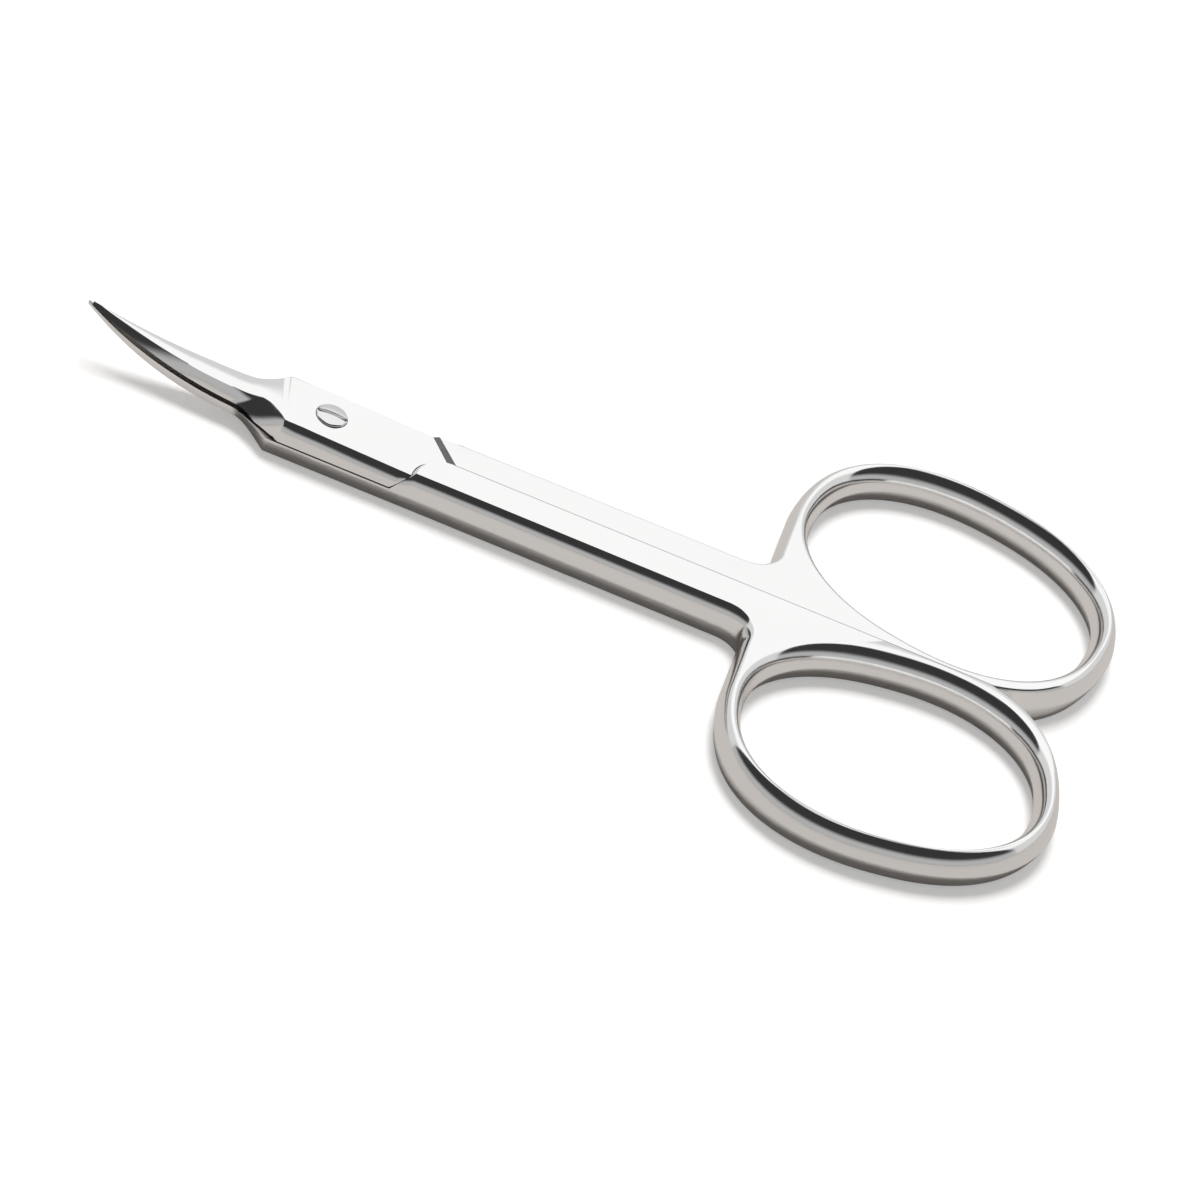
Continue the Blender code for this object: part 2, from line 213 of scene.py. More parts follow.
def ring_point(angle):
    point, away = hole_point(angle)
    return point + away * BAND_WIDTH


def web_angle():
    """Angle on the ring where its outer side points straight back along the shank."""
    steps = range(-RING_POINTS // 2, RING_POINTS // 2)
    angles = [math.pi * (1 + step / RING_POINTS) for step in steps]
    return min(angles, key=lambda angle: ring_point(angle).x)


print(f"the web meets the ring at {math.degrees(web_angle()):.0f} degrees")

# %% Draw the outline of a half
SHANK_POINTS = 12
FILLET_POINTS = 14


def half_outline():
    """The outline as (x, y, roll of the side there)."""
    outline = []
    for step in range(SHANK_POINTS):
        x = mix(-PLATE_NEAR_END, APEX + OVERRUN, step / (SHANK_POINTS - 1))
        outline.append((x, -PLATE_HALF_WIDTH, PLATE_ROLL))
    outline.append((APEX + OVERRUN, -OVERRUN, SIDE_ROLL))
    outline.append((RING_CENTRE.x - BAND_WIDTH, -OVERRUN, SIDE_ROLL))
    last_angle = web_angle()
    for step in range(RING_POINTS + 1):
        angle = mix(-math.pi / 2, last_angle, step / RING_POINTS)
        x, y = ring_point(angle)
        flat = smoothstep((angle - CREST_START) / (last_angle - CREST_START))
        leaving_seam = smoothstep((angle - SEAM_ROLL_START) / (SEAM_ROLL_END - SEAM_ROLL_START))
        roll = blend_rolls(SEAM_ROLL, RING_ROLL, leaving_seam)
        outline.append((x, y, blend_rolls(roll, SIDE_ROLL, flat)))
    centre_x = ring_point(last_angle).x - FILLET_RADIUS
    for step in range(FILLET_POINTS + 1):
        angle = -math.pi / 2 * step / FILLET_POINTS
        x = centre_x + FILLET_RADIUS * math.cos(angle)
        y = SHANK_WIDTH_AT_RING + FILLET_RADIUS * (1 + math.sin(angle))
        outline.append((x, y, SIDE_ROLL))
    outline.append((APEX, PLATE_HALF_WIDTH, SIDE_ROLL))
    for step in range(SHANK_POINTS):
        x = mix(SHOULDER_START, -PLATE_FAR_END, step / (SHANK_POINTS - 1))
        outline.append((x, PLATE_HALF_WIDTH, PLATE_ROLL))
    return outline


print(f"outline of a half: {len(half_outline())} points")

# %% [markdown]
# ## From outline to solid side
#
# Each point of the outline becomes an upright column of points that follows the roll. Neighbouring
# columns are joined with faces. The heights are closest together near the top and bottom, where
# the roll bends most, because a mirror finish shows every facet. On the plate of the upper half
# the rows also close up under the sloped face, so that the face doesn't cut across them.

# %% Choose the heights of a column
LEVELS = 14
HEIGHTS = [math.sin(math.pi / 2 * step / LEVELS) for step in range(-LEVELS, LEVELS + 1)]
ROUND_SHARE = 0.6
ROW_MARGIN = 0.00003


def levels(roll, half_thickness):
    """Heights and extra insets of a column. The first and the last make the small round."""
    edge = roll["edge"][0]
    full = 1 - ROUND_SHARE * edge / half_thickness
    return [(-1, edge)] + [(full * height, 0) for height in HEIGHTS] + [(1, edge)]


def plate_row(x, height, top, turn):
    """Where a row of points on the plate's side stands."""
    if height <= 0 or height > top or turn < 0:
        return MID * height
    face = MID - FACE_SLOPE * max(0, min(x, SHOULDER_START) + PLATE_NEAR_END)
    return height / top * min(face + ROW_MARGIN, top * MID)


print(f"rows of points up a side: {len(levels(SIDE_ROLL, MID))}")


# %% Stand the columns and join them
def side_columns(mesh, outline, closed, turn):
    """Upright columns along an outline. They lean to the left of its direction."""
    columns = []
    count = len(outline)
    for index, (x, y, roll) in enumerate(outline):
        before = outline[index - 1] if closed or index else outline[0]
        after = outline[(index + 1) % count] if closed or index < count - 1 else outline[-1]
        along = Vector((after[0] - before[0], after[1] - before[1])).normalized()
        column = []
        rows = levels(roll, MID)
        for height, extra in rows:
            z = plate_row(x, height, rows[-2][0], turn) if roll is PLATE_ROLL else MID * height
            inset = roll_inset(roll, MID * height, turn) + extra
            column.append(mesh.verts.new((x - along.y * inset, y + along.x * inset, z)))
        columns.append(column)
    return columns


def join_columns(mesh, columns, closed):
    for index in range(len(columns) - (0 if closed else 1)):
        one = columns[index]
        two = columns[(index + 1) % len(columns)]
        for low in range(len(one) - 1):
            mesh.faces.new((one[low], two[low], two[low + 1], one[low + 1]))


# %% [markdown]
# ## The blade
#
# The plate narrows to the blade in a hollow-ground scallop. On the face the scallop is short, and
# at the level where the blades meet it is longer, so its wall leans back. Past it the blade curves
# up and grows thinner. Its spine side leans more and more towards the tip. The two blades differ a
# little: the spine of the upper one faces the camera, and the ground edge of the lower one.

# %% Sizes of the blade's two sides
SPINE_SIDE = {
    "end": PLATE_NEAR_END,
    "half_width": 0.0016,
    "scallop_top": 0.0025,
    "scallop_low": 0.0056,
    "lean": math.radians(15),
    "tip_lean": math.radians(29),
    "belly": math.radians(9),
    "height_share": 1.0,
    "setback": 0.0,
}
UPPER_EDGE_SIDE = {
    "end": PLATE_FAR_END,
    "half_width": 0.00158,
    "scallop_top": 0.0029,
    "scallop_low": 0.0033,
    "lean": math.radians(4),
    "tip_lean": math.radians(4),
    "belly": 0.0,
    "height_share": 0.92,
    "setback": 0.00012,
}
LOWER_EDGE_SIDE = {
    "end": PLATE_FAR_END,
    "half_width": 0.0016,
    "scallop_top": 0.0031,
    "scallop_low": 0.0038,
    "lean": math.radians(8),
    "tip_lean": math.radians(8),
    "belly": 0.0,
    "height_share": 0.5,
    "setback": 0.0,
}
print(f"spine side: the scallop is {SPINE_SIDE['scallop_top'] * 1000:.1f} mm long on the face")

# %% Curve the face where the blades meet
CURVE_START = 0.0053
TIP_RISE = 0.0034
RISE_POWER = 2.35


def mating_height(x, turn):
    """Height of the face where the blades meet: flat at the joint, then rising to the tip."""
    past = max(0, -CURVE_START - x)
    return turn * TIP_RISE * (past / (TIP_REACH["upper"] - CURVE_START)) ** RISE_POWER


print(f"the upper blade's inner face rises {mating_height(-TIP_REACH['upper'], 1) * 1000:.2f} mm")

# %% One side of one cross-section
BLADE_THICKNESS = 0.00158
TIP_THICKNESS = 0.0003
TIP_HALF_WIDTH = 0.00012
WIDTH_TAPER_POWER = 1.45
THICKNESS_TAPER_POWER = 1.9
SCALLOP_POWER = 1.6
THINNING_LENGTH = 0.0042
LEAN_START = 0.3
LEAN_RUN = 0.6
MOST_INSET = 1.4


def blade_column(mesh, side, ground, share, reach, turn):
    """One side of one cross-section. The side is -1 for the spine and 1 for the cutting edge."""
    x = mix(-ground["end"], -reach, share)
    from_plate = -ground["end"] - x
    scallop = ground["scallop_top"]
    along = max(0, (from_plate - scallop) / (reach - ground["end"] - scallop))
    narrow = 1 - along**WIDTH_TAPER_POWER
    blade_width = mix(TIP_HALF_WIDTH, ground["half_width"], narrow)
    full = mix(BLADE_THICKNESS, TIP_THICKNESS, along**THICKNESS_TAPER_POWER)
    leaving = 1 - smoothstep(from_plate / THINNING_LENGTH)
    thickness = mix(full * mix(ground["height_share"], 1, along), MID, leaving)
    grown = smoothstep(from_plate / ground["scallop_low"])
    lean = mix(ground["lean"], ground["tip_lean"], smoothstep((along - LEAN_START) / LEAN_RUN))
    column = []
    for height, extra in levels(SIDE_ROLL, thickness):
        upward = max(0, height)
        length = mix(ground["scallop_low"], scallop, upward)
        narrowing = max(0, 1 - from_plate / length) ** SCALLOP_POWER
        half_width = mix(blade_width, PLATE_HALF_WIDTH, narrowing)
        slope = mix(math.tan(lean), math.tan(lean + ground["belly"]), upward / 2)
        leaned = thickness * upward * slope
        inset = mix(roll_inset(PLATE_ROLL, MID * height, turn), leaned, grown)
        inset = min(inset + extra, half_width * MOST_INSET)
        y = side * (half_width - ground["setback"] * grown * narrow - inset)
        column.append(mesh.verts.new((x, y, mating_height(x, turn) + thickness * height)))
    return column


print(f"blade: {BLADE_THICKNESS * 1000:.2f} mm thick, {TIP_THICKNESS * 1000:.2f} mm at the tip")

# %% Loft the blade from the plate to the tip
BLADE_SECTIONS = 110
SECTION_CROWDING = 1.15


def add_blade(mesh, near, far, reach, turn):
    """The blade as a loft from the plate's two end columns to the tip."""
    edge_side = UPPER_EDGE_SIDE if turn > 0 else LOWER_EDGE_SIDE
    for step in range(1, BLADE_SECTIONS + 1):
        share = (step / BLADE_SECTIONS) ** SECTION_CROWDING
        next_near = blade_column(mesh, -1, SPINE_SIDE, share, reach, turn)
        next_far = blade_column(mesh, 1, edge_side, share, reach, turn)
        join_columns(mesh, [next_near, near], False)
        join_columns(mesh, [far, next_far], False)
        mesh.faces.new((near[-1], far[-1], next_far[-1], next_near[-1]))
        mesh.faces.new((far[0], near[0], next_near[0], next_far[0]))
        near = next_near
        far = next_far
    join_columns(mesh, [far, near], False)


# %% [markdown]
# ## The blank before grinding
#
# The sides, the flat faces above and below, and the blade make one closed body, like the forging
# before it is ground. The finger hole is left open by filling the faces between the two outlines.

# %% Make the blank
HOLE_POINTS = 220


def fill_flat(mesh, loops):
    """Closes a flat face between outlines of points."""
    edges = []
    for loop in loops:
        for one, two in zip(loop, loop[1:] + loop[:1]):
            edges.append(mesh.edges.get((one, two)) or mesh.edges.new((one, two)))
    bmesh.ops.triangle_fill(mesh, use_beauty=True, edges=edges)


def store(mesh, name):
    """Turns the working mesh into mesh data for an object."""
    data = bpy.data.meshes.new(name)
    mesh.to_mesh(data)
    mesh.free()
    return data


def half_blank(name, reach, turn):
    mesh = bmesh.new()
    outer = side_columns(mesh, half_outline(), False, turn)
    join_columns(mesh, outer, False)
    hole = []
    for step in range(HOLE_POINTS):
        point, _ = hole_point(-math.tau * step / HOLE_POINTS)
        hole.append((point.x, point.y, RING_ROLL))
    inner = side_columns(mesh, hole, True, turn)
    join_columns(mesh, inner, True)
    for level in (0, -1):
        fill_flat(mesh, [[column[level] for column in outer], [column[level] for column in inner]])
    add_blade(mesh, outer[0], outer[-1], reach, turn)
    bmesh.ops.recalc_face_normals(mesh, faces=mesh.faces)
    return store(mesh, name)


# %% [markdown]
# ## Grinding the joint
#
# Each cut on the real scissors is one grinding pass, and here it is one Boolean with a simple
# solid. Most solids are a flat outline made solid between two heights, some of them leaned along
# the scissors. The others are cylinders and cones about the pivot axis.

# %% Helpers that make grinding solids
ROUND_SEGMENTS = 128


def prism(points, low, high):
    """A flat outline made solid between two heights."""
    mesh = bmesh.new()
    bottom = mesh.faces.new([mesh.verts.new((x, y, low)) for x, y in points])
    moved = bmesh.ops.extrude_face_region(mesh, geom=[bottom], use_keep_orig=True)
    top = [part for part in moved["geom"] if isinstance(part, bmesh.types.BMVert)]
    bmesh.ops.translate(mesh, verts=top, vec=(0, 0, high - low))
    bmesh.ops.recalc_face_normals(mesh, faces=mesh.faces)
    return store(mesh, "grinding_solid")


def shear(data, run):
    """Leans a solid along X, by the run for each half thickness of height."""
    for vertex in data.vertices:
        vertex.co.x += run * vertex.co.z / MID
    return data


def round_solid(low_radius, high_radius, low, high):
    """A cylinder or a cone about the pivot axis."""
    mesh = bmesh.new()
    bmesh.ops.create_cone(
        mesh, cap_ends=True, segments=ROUND_SEGMENTS, radius1=low_radius, radius2=high_radius,
        depth=high - low,
    )
    bmesh.ops.translate(mesh, verts=mesh.verts, vec=(0, 0, (low + high) / 2))
    return store(mesh, "grinding_solid")


# %% [markdown]
# ## The face where the blades meet
#
# Scissors cut because their blades touch only along the edges. So the inner face of each blade is
# ground hollow: it rises from the cutting edge towards the spine. The cut follows the upward curve
# of the blades, and leaves half of the small gap between the halves.

# %% The solid under the mating face
LAP_GAP = 0.00005
MATING_CLEARANCE = LAP_GAP / 2
RAMP_RUN = 0.0018
HOLLOW_DEPTH = 0.00032
GRIND_START = 0.0072
CURVE_POINTS = 80


def mating_solid(turn):
    """What lies below the face where the blades meet, rising towards the spine."""
    start = -max(TIP_REACH.values()) - OVERRUN
    floor = -2 * MID - TIP_RISE - OVERRUN
    stop = SHOULDER_START - RAMP_RUN - OVERRUN / 2
    wide = OVERRUN + PLATE_HALF_WIDTH
    points = [(start, floor)]
    for step in range(CURVE_POINTS + 1):
        x = mix(start, -CURVE_START, step / CURVE_POINTS)
        points.append((x, mating_height(x, turn) + MATING_CLEARANCE))
    points += [(stop, MATING_CLEARANCE), (stop, floor)]
    data = prism(points, -wide, wide)
    data.transform(Matrix.Rotation(math.pi / 2, 4, "X"))
    edge = SPINE_SIDE["half_width"]
    for vertex in data.vertices:
        if vertex.co.z > floor / 2:
            started = smoothstep((-CURVE_START - vertex.co.x) / (GRIND_START - CURVE_START))
            ended = smoothstep((TIP_REACH["upper"] + vertex.co.x) / CURVE_START)
            vertex.co.z += HOLLOW_DEPTH * started * ended * (edge - vertex.co.y) / (2 * edge)
    return data


print(f"hollow grind: {HOLLOW_DEPTH * 1000:.2f} mm at the spine")

# %% [markdown]
# ## The lap and the rounded end of the plate
#
# Under the other half's plate each half is ground away to the mid-plane. The space ends at a
# rounded shoulder with an undercut ramp, and the other half's plate has a rounded end that fits
# it. The two arcs share one helper, and a small gap keeps them apart.

# %% The solids for the lap and the plate's end
SHOULDER_GAP = 0.00004
SEAM_GAP = 0.00005
ARC_POINTS = 30


def shoulder_arc(side, radius, limit):
    """The quarter round at the end of a full-thickness shank, seen from above."""
    points = []
    for step in range(ARC_POINTS + 1):
        angle = math.pi / 2 * step / ARC_POINTS
        y = -SHOULDER_RADIUS + radius * math.sin(angle)
        points.append((APEX - radius * math.cos(angle), side * min(y, limit)))
    return points


def lap_solid():
    """The space under the other half's plate, up to the half's own rounded shoulder."""
    wide = PLATE_HALF_WIDTH + OVERRUN
    start = SHOULDER_START - RAMP_RUN - OVERRUN
    points = [(start, wide), (start, -wide), (APEX + 2 * OVERRUN, -wide), (APEX + 2 * OVERRUN, 0)]
    points += reversed(shoulder_arc(-1, SHOULDER_RADIUS, 0))
    points.append((SHOULDER_START, wide))
    data = shear(prism(points, -MID - OVERRUN, MATING_CLEARANCE), -RAMP_RUN)
    data.transform(Matrix.Translation((-RAMP_RUN, 0, 0)))
    return data


def end_solid():
    """The rounded end of the plate, clear of the other half's shoulder."""
    wide = PLATE_HALF_WIDTH + OVERRUN
    points = [(SHOULDER_START - SHOULDER_GAP, -wide)]
    points += shoulder_arc(1, SHOULDER_RADIUS + SHOULDER_GAP, SEAM_GAP / 2)
    points += [(APEX + 3 * OVERRUN, SEAM_GAP / 2), (APEX + 3 * OVERRUN, -wide)]
    data = shear(prism(points, -LAP_GAP, MID + OVERRUN), RAMP_RUN)
    data.transform(Matrix.Translation((-RAMP_RUN, 0, 0)))
    return data


print(f"the plate's end stays {SHOULDER_GAP * 1000:.2f} mm clear of the shoulder")

# %% [markdown]
# ## The sloped face and the seam
#
# On the upper half the plate's face slopes down a little from the blade to the shank, and a
# slanted step leads back up from it. Between the shanks and between the rings the two halves meet
# in a straight seam.

# %% The solids for the sloped face and the seam
RISER_RUN = 0.0029
RISER_LEAN = math.radians(38)
RISER_SETBACK = 0.0003


def face_solid():
    """What lies above the plate's sloped face, up to the slanted step in front of the shank."""
    wide = PLATE_HALF_WIDTH + OVERRUN
    slant = RISER_RUN / PLATE_HALF_WIDTH
    start = -PLATE_NEAR_END
    tip = APEX - RISER_SETBACK
    points = [(start, wide), (start, -wide), (APEX, -wide), (APEX, 0), (tip, 0)]
    points.append((tip - slant * wide, wide))
    data = prism(points, MID, MID + OVERRUN)
    for vertex in data.vertices:
        above = vertex.co.z - MID
        vertex.co.z -= FACE_SLOPE * (vertex.co.x + PLATE_NEAR_END)
        vertex.co.x += above * math.tan(RISER_LEAN) * math.hypot(1, slant)
    return data


def seam_solid():
    """What lies past the flat inner side of the shank and the ring, where the halves meet."""
    end = APEX + RING_REACH
    inner = SEAM_GAP / 2
    points = [(APEX, -RING_REACH), (end, -RING_REACH), (end, inner), (APEX, inner)]
    return prism(points, -MID - OVERRUN, MID + OVERRUN)


print(f"the step leans {math.degrees(RISER_LEAN):.0f} degrees from upright")

# %% [markdown]
# ## Room to swing
#
# When the scissors open, a corner of each plate swings under the lip of the other half's
# shoulder. A cone about the pivot axis cuts away what the corner reaches, and a little more.

# %% The solid that clears the swing
SWING_CLEARANCE = 0.00012


def swing_solid():
    """Clears the shoulder where the corner of the other half's plate swings under its lip."""
    corner = SHOULDER_START - SHOULDER_GAP
    face = MID - FACE_SLOPE * (corner + PLATE_NEAR_END)
    at_face = corner - RAMP_RUN * (1 - face / MID)
    top_inset = roll_inset(PLATE_ROLL, MID, 1)
    deep = math.hypot(corner - RAMP_RUN, PLATE_HALF_WIDTH) + SWING_CLEARANCE
    outer = math.hypot(at_face, PLATE_HALF_WIDTH - top_inset) + SWING_CLEARANCE
    return round_solid(outer, deep, -face - LAP_GAP, LAP_GAP + MATING_CLEARANCE)


print(f"the corner of a plate has {SWING_CLEARANCE * 1000:.2f} mm of room as it swings")

# %% [markdown]
# ## Softening the ground edges
#
# No real edge is perfectly sharp, and on polished steel the thin line of light along an edge is
# what makes it look solid. So the edges that the grinding left get a bevel that reaches 0.04 mm to
# each side, all but those of the blade and those near the mid-plane. The bevel's faces carry a
# mask that gives worn edges their own tone of steel. A second mask marks the faces where the two
# halves lie on each other, which aren't polished as the outside is.

# %% Bevel the edges and mark the two kinds of face
EDGE_BEVEL = 0.00004
BEVEL_SEGMENTS = 2
MERGE_DISTANCE = 0.000008
SAME_PLANE = math.radians(0.01)
SHARP_ANGLE = math.radians(32)
INWARD = -0.9


def sharp_edges(mesh):
    """The edges to bevel: sharp, behind the blade and off the lap."""
    found = []
    for edge in mesh.edges:
        behind_blade = min(vertex.co.x for vertex in edge.verts) > -PLATE_NEAR_END
        off_the_lap = min(abs(vertex.co.z) for vertex in edge.verts) > HOLLOW_DEPTH
        sharp = edge.is_manifold and edge.calc_face_angle(0) > SHARP_ANGLE
        if behind_blade and off_the_lap and sharp:
            found.append(edge)
    return found


def soften_edges(data, turn):
    mesh = bmesh.new()
    mesh.from_mesh(data)
    bmesh.ops.remove_doubles(mesh, verts=mesh.verts, dist=MERGE_DISTANCE)
    bmesh.ops.dissolve_limit(mesh, angle_limit=SAME_PLANE, verts=mesh.verts, edges=mesh.edges)
    worn = mesh.faces.layers.float.new("worn_edge")
    ground = mesh.faces.layers.float.new("ground_face")
    sharp = sharp_edges(mesh)
    made = bmesh.ops.bevel(
        mesh,
        geom=sharp,
        offset=EDGE_BEVEL,
        offset_type="OFFSET",
        segments=BEVEL_SEGMENTS,
        profile=0.5,
        affect="EDGES",
        clamp_overlap=True,
        harden_normals=False,
    )
    for face in made["faces"]:
        face[worn] = 1
    for face in mesh.faces:
        centre = face.calc_center_median()
        off = abs(centre.z - mating_height(centre.x, turn))
        if face.normal.z < INWARD and off < HOLLOW_DEPTH + LAP_GAP and centre.x < APEX:
            face[ground] = 1
    mesh.to_mesh(data)
    mesh.free()
    return len(sharp)


# %% [markdown]
# ## From blank to finished half
#
# The grinding solids stand in the scene only while their Booleans are worked out, and are removed
# with the blank. The swing is cut first, while the blank is still simple: cut last, it left an
# empty mesh. The sloped face is cut on the upper half only, because in the photograph the lower
# edge runs straight on from plate to shank.

# %% Cut a blank, and stand a piece in its place
SMOOTHING_ANGLE = math.radians(40)


def add_object(name, data):
    piece = bpy.data.objects.new(name, data)
    bpy.context.scene.collection.objects.link(piece)
    return piece


def cut_away(blank, solids):
    """Cuts each solid from the blank in turn, and gives the mesh that is left."""
    helpers = []
    for data in solids:
        helper = add_object("grinding_solid", data)
        helpers.append(helper)
        modifier = blank.modifiers.new("Ground", "BOOLEAN")
        modifier.operation = "DIFFERENCE"
        modifier.object = helper
    graph = bpy.context.evaluated_depsgraph_get()
    data = bpy.data.meshes.new_from_object(blank.evaluated_get(graph))
    for used in (blank, *helpers):
        bpy.data.objects.remove(used, do_unlink=True)
    return data


def stand_piece(name, data, turned):
    """A finished piece on the pivot axis, shaded smooth up to its sharp edges."""
    data.transform(Matrix.Translation(PIVOT) @ turned)
    data.name = name
    piece = add_object(name, data)
    data.shade_smooth()
    data.set_sharp_from_angle(angle=SMOOTHING_ANGLE)
    return piece


# %% Grind a half
def ground_half(name, body, turn, drill):
    """One half, ground, bevelled and standing in its place."""
    blank = add_object(name, half_blank(name, TIP_REACH[body], turn))
    solids = [swing_solid(), mating_solid(turn), lap_solid(), end_solid(), seam_solid()]
    if turn > 0:
        solids.append(face_solid())
    data = cut_away(blank, solids + drill)
    edges = soften_edges(data, turn)
    piece = stand_piece(name, data, Matrix.Rotation(0 if turn > 0 else math.pi, 4, "X"))
    weighted = piece.modifiers.new("Flat faces stay flat", "WEIGHTED_NORMAL")
    weighted.keep_sharp = True
    print(f"{name}: {len(data.polygons)} faces, {edges} softened edges")
    return piece


# %% [markdown]
# ## Drill, and build both halves
#
# The stem of the screw passes through both plates, and its head sits in a seat in the upper one.

# %% Build the two halves
HEAD_RADIUS = 0.00137
STEM_RADIUS = 0.0009
PIVOT_CLEARANCE = 0.00005
HEAD_SEAT_DEPTH = 0.0005

stem = STEM_RADIUS + PIVOT_CLEARANCE
seat = HEAD_RADIUS + PIVOT_CLEARANCE
seat_floor = PLATE_TOP - HEAD_SEAT_DEPTH - PIVOT_CLEARANCE
bore = round_solid(stem, stem, -2 * MID, 2 * MID)
head_seat = round_solid(seat, seat, seat_floor, 2 * MID)
upper = ground_half("upper_half_polished", "upper", 1, [bore, head_seat])
lower = ground_half("lower_half_polished", "lower", -1, [bore])
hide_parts("upper_half")
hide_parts("lower_half")
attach(upper, "upper")
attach(lower, "lower")

# %% [markdown]
# ## The pivot screw
#
# A turned screw is a profile spun round its axis. The head is a low dome with a rounded rim, and a
# flat-bottomed slot is cut across it along the scissors.

# %% Draw the profile of the screw
RIM_HEIGHT = 0.00021
DOME_HEIGHT = 0.00013
RIM_ROUND = 0.00019
DOME_STEPS = 12
RIM_STEPS = 6


def screw_profile():
    rim = PLATE_TOP + RIM_HEIGHT
    flat = HEAD_RADIUS - RIM_ROUND
    under_head = PLATE_TOP - HEAD_SEAT_DEPTH
    points = []
    for step in range(DOME_STEPS + 1):
        out = math.sin(math.pi / 2 * step / DOME_STEPS)
        points.append((flat * out, rim + DOME_HEIGHT * (1 - out * out)))
    for step in range(1, RIM_STEPS + 1):
        angle = math.pi / 2 * step / RIM_STEPS
        x = flat + RIM_ROUND * math.sin(angle)
        points.append((x, rim - RIM_ROUND * (1 - math.cos(angle))))
    points += [(HEAD_RADIUS, under_head), (STEM_RADIUS, under_head)]
    points += [(STEM_RADIUS, -PLATE_TOP), (0, -PLATE_TOP)]
    return points


print(f"screw profile: {len(screw_profile())} points")

# %% Turn the screw and cut its slot
TURN_STEPS = 96
SLOT_WIDTH = 0.0004
SLOT_DEPTH = 0.00033


def turned_screw(name):
    mesh = bmesh.new()
    verts = [mesh.verts.new((x, 0, z)) for x, z in screw_profile()]
    edges = [mesh.edges.new(pair) for pair in zip(verts, verts[1:])]
    bmesh.ops.spin(
        mesh, geom=verts + edges, cent=(0, 0, 0), axis=(0, 0, 1), angle=math.tau,
        steps=TURN_STEPS, use_merge=True,
    )
    bmesh.ops.remove_doubles(mesh, verts=mesh.verts, dist=MERGE_DISTANCE)
    bmesh.ops.recalc_face_normals(mesh, faces=mesh.faces)
    blank = add_object(name, store(mesh, name))
    top = PLATE_TOP + RIM_HEIGHT + DOME_HEIGHT
    reach = 2 * HEAD_RADIUS
    half = SLOT_WIDTH / 2
    corners = [(-reach, -half), (reach, -half), (reach, half), (-reach, half)]
    data = cut_away(blank, [prism(corners, top - SLOT_DEPTH, top + MID)])
    soften_edges(data, 1)
    return stand_piece(name, data, Matrix.Identity(4))


screw = turned_screw("pivot_screw_turned")
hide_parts("pivot_screw")
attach(screw, "lower")
print(f"screw: {len(screw.data.polygons)} faces")

# %% [markdown]
# ## What polished steel is made of
#
# A mirror-polished blade still shows the trade that made it: hair-fine lines along its length from
# the last polishing belt, low waves from the hand that ground it, and a faint cloudiness where
# fingers have touched it. Each of these is a small group of shader nodes, built once, that puts
# out a mask or a height. A few helpers first make it short to set up and link a node.

# %% Helpers for shader nodes
def feed(tree, value, socket):
    """Links another node's output to an input, or sets the input to a plain value."""
    if isinstance(value, bpy.types.NodeSocket):
        tree.links.new(value, socket)
    else:
        socket.default_value = value


def add_node(tree, kind, inputs, output, **settings):
    """A node with its settings made and its inputs fed. It gives the output that is wanted."""
    node = tree.nodes.new(kind)
    for setting, value in settings.items():
        setattr(node, setting, value)
    for label, value in inputs.items():
        feed(tree, value, node.inputs[label])
    return node.outputs[output]


def add_math(tree, operation, *values):
    inputs = dict(enumerate(values))
    return add_node(tree, "ShaderNodeMath", inputs, "Value", operation=operation)


def add_ramp(tree, value, start, end, low=0.0, high=1.0, shape="LINEAR"):
    """Turns start to end into low to high, and holds the ends."""
    inputs = {"Value": value, "From Min": start, "From Max": end, "To Min": low, "To Max": high}
    return add_node(tree, "ShaderNodeMapRange", inputs, "Result", interpolation_type=shape)


def add_mix(tree, factor, one, two, kind="FLOAT"):
    inputs = {"Factor": factor, "A": one, "B": two}
    return add_node(tree, "ShaderNodeMix", inputs, "Result", data_type=kind)


# %% A helper for node groups
def new_group(name, number_label, number, output):
    """A group that takes a position and one number, and puts out one value."""
    group = bpy.data.node_groups.new(name, "ShaderNodeTree")
    add_socket = group.interface.new_socket
    add_socket(name="Vector", in_out="INPUT", socket_type="NodeSocketVector")
    scale = add_socket(name=number_label, in_out="INPUT", socket_type="NodeSocketFloat")
    scale.default_value = number
    add_socket(name=output, in_out="OUTPUT", socket_type="NodeSocketFloat")
    source = group.nodes.new("NodeGroupInput").outputs
    result = group.nodes.new("NodeGroupOutput").inputs
    return group, source["Vector"], source[number_label], result[output]


# %% Group: belt lines along the metal
LINE_STRETCH = (0.03, 1, 0.6)
MM_PER_METRE = 1000


def make_belt_lines():
    """Hair-fine lines along X, as a mask from 0 to 1."""
    group, place, lines_per_mm, result = new_group("Belt lines", "Lines per mm", 9.0, "Mask")
    stretched = add_node(
        group, "ShaderNodeMapping", {"Vector": place, "Scale": LINE_STRETCH}, "Vector"
    )
    inputs = {
        "Vector": stretched,
        "Scale": add_math(group, "MULTIPLY", lines_per_mm, MM_PER_METRE),
        "Detail": 3,
        "Roughness": 0.6,
    }
    feed(group, add_node(group, "ShaderNodeTexNoise", inputs, "Fac"), result)
    return group


belt_lines = make_belt_lines()
print("group:", belt_lines.name)

# %% Group: cloudy handling marks
CLOUDS_START = 0.45
CLOUDS_END = 0.75


def make_handling_marks():
    """Soft patches where fingers dull the polish, as a mask from 0 to 1."""
    group, place, patch_size, result = new_group("Handling marks", "Patch size", 140.0, "Mask")
    inputs = {"Vector": place, "Scale": patch_size, "Detail": 5, "Distortion": 0.6}
    noise = add_node(group, "ShaderNodeTexNoise", inputs, "Fac")
    feed(group, add_ramp(group, noise, CLOUDS_START, CLOUDS_END), result)
    return group


handling_marks = make_handling_marks()
print("group:", handling_marks.name)


